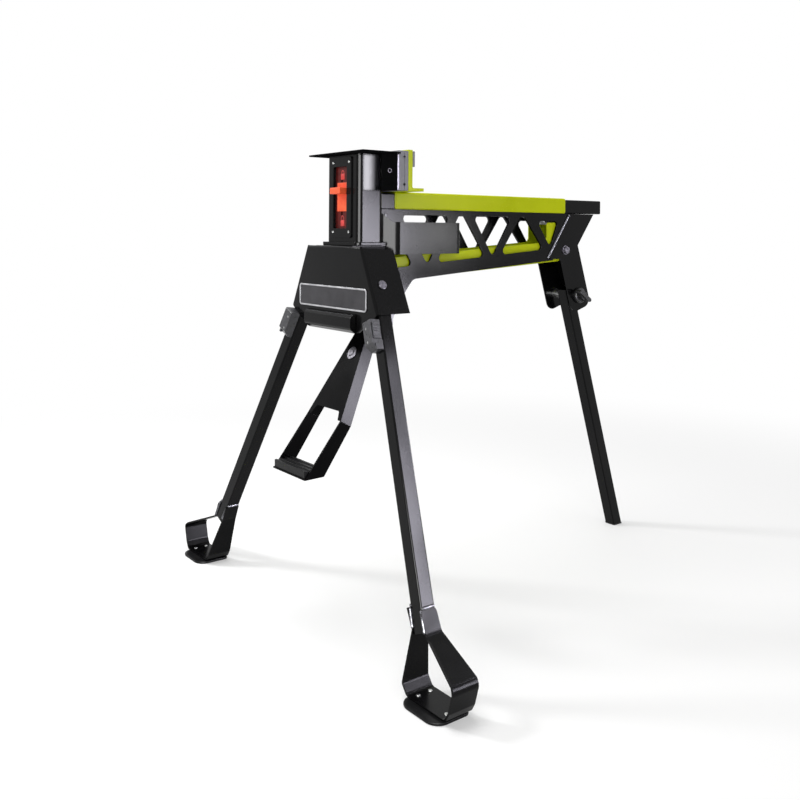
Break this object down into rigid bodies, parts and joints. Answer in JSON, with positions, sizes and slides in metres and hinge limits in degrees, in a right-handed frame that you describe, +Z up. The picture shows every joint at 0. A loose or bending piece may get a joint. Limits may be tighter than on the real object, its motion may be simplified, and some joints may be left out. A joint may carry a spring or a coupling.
{
  "type": "portable workbench",
  "caption": "Folding tripod workbench with a long sliding clamp jaw, a foot pedal that draws the jaw closed, a lock switch on its post and a carrying handle",
  "frame": {"origin": "on the floor, under the middle of the bench's footprint", "axes": "+X to the bench's right seen from behind the post, +Y from the post to the rear leg, +Z up"},
  "size_m": [0.9212, 0.9636, 0.88],
  "materials": {
    "black_paint": "gloss black powder coat",
    "green_paint": "lime green powder coat",
    "zinc": "bright zinc plate",
    "jaw_pad": "hard grey urethane, fine grain",
    "orange_plastic": "smooth moulded, slightly worn",
    "red_plate": "dark red enamel",
    "black_plastic": "black moulded, fine grain",
    "latch_plastic": "dark grey moulded",
    "badge_metal": "plain grey plate with a bright rim",
    "foot_rubber": "dull black",
    "spring_steel": "oiled spring wire"
  },
  "bodies": {
    "frame": {"post": "black_paint", "post_collar": "black_paint", "top_plate": "black_paint", "fixed_jaw_bracket": "black_paint", "fixed_jaw_pad": "jaw_pad", "switch_bezel": "black_paint", "switch_back_plate": "red_plate", "rail": "black_paint", "truss_plate_right": "black_paint", "truss_plate_left": "black_paint", "yoke_glides": "black_plastic", "base_housing": "black_paint", "front_lip": "black_paint", "front_badge": "badge_metal", "leg_cheek_right": "black_paint", "leg_cheek_left": "black_paint", "leg_pivot_bolts": "zinc", "rear_bracket": "black_paint", "bracket_sleeve": "black_paint", "rear_leg_spacers": "zinc", "pedal_pivot_pin": "zinc", "pedal_spring": "spring_steel", "carry_handle": "black_paint", "post_screws": "zinc", "frame_bolts": "zinc"},
    "jaw": {"saddle": "green_paint", "jaw_plate": "green_paint", "moving_jaw_pad": "jaw_pad", "rear_jaw_pad": "jaw_pad", "drive_bar": "zinc", "jaw_screws": "zinc"},
    "yoke": {"pull_yoke": "green_paint", "clutch_carrier": "zinc", "clutch_plates": "zinc"},
    "pedal": {"pedal_lever": "black_paint", "link_pin": "zinc", "pedal_boss": "zinc", "pedal_stirrup": "black_paint", "pedal_tread": "foot_rubber", "pedal_bumper": "foot_rubber"},
    "right_leg": {"front_leg_right": "black_paint", "foot_strap_right": "black_paint", "foot_pad_right": "foot_rubber", "foot_rivets_right": "zinc", "latch_body_right": "latch_plastic", "latch_screws_right": "zinc"},
    "left_leg": {"front_leg_left": "black_paint", "foot_strap_left": "black_paint", "foot_pad_left": "foot_rubber", "foot_rivets_left": "zinc", "latch_body_left": "latch_plastic", "latch_screws_left": "zinc"},
    "right_latch": {"latch_button_right": "latch_plastic"},
    "left_latch": {"latch_button_left": "latch_plastic"},
    "back_leg": {"rear_leg": "black_paint", "rear_leg_plug": "black_plastic"},
    "knob": {"rear_knob": "black_plastic", "rear_pivot_bolt": "zinc"},
    "lock": {"lock_slider": "orange_plastic", "lock_shuttle": "zinc"}
  },
  "joints": [
    {"name": "jaw_slide", "type": "slide", "parent": "frame", "child": "jaw", "axis": [0, 1, 0], "range_m": [0, 0.4]},
    {"name": "yoke_slide", "type": "slide", "parent": "frame", "child": "yoke", "axis": [0, -1, 0], "range_m": [0, 0.0271]},
    {"name": "pedal_pivot", "type": "hinge", "parent": "frame", "child": "pedal", "pos_m": [0, -0.27445, 0.553], "axis": [1, 0, 0], "range_deg": [0, 26], "stiffness_Nm_per_rad": 4, "springref_deg": -57.3},
    {"name": "right_leg_fold", "type": "hinge", "parent": "frame", "child": "right_leg", "pos_m": [0.1083, -0.34775, 0.6178], "axis": [0.9092, 0, 0.4163], "range_deg": [0, 90]},
    {"name": "left_leg_fold", "type": "hinge", "parent": "frame", "child": "left_leg", "pos_m": [-0.1083, -0.34775, 0.6178], "axis": [0.9092, 0, -0.4163], "range_deg": [0, 90]},
    {"name": "right_latch_press", "type": "slide", "parent": "right_leg", "child": "right_latch", "axis": [-0.9092, 0, -0.4163], "range_m": [0, 0.0025], "stiffness_N_per_m": 800, "springref_m": -0.003},
    {"name": "left_latch_press", "type": "slide", "parent": "left_leg", "child": "left_latch", "axis": [0.9092, 0, -0.4163], "range_m": [0, 0.0025], "stiffness_N_per_m": 800, "springref_m": -0.003},
    {"name": "rear_leg_fold", "type": "hinge", "parent": "frame", "child": "back_leg", "pos_m": [0, 0.28715, 0.576], "axis": [-1, 0, 0], "range_deg": [0, 78]},
    {"name": "knob_turn", "type": "hinge", "parent": "frame", "child": "knob", "pos_m": [0, 0.28715, 0.576], "axis": [1, 0, 0], "range_deg": [0, 270]},
    {"name": "lock_slide", "type": "slide", "parent": "frame", "child": "lock", "axis": [0, 0, 1], "range_m": [-0.028, 0.028]}
  ],
  "couplings": [
    {"joint": "yoke_slide", "follows": "pedal_pivot", "m_per_rad": 0.059486}
  ]
}
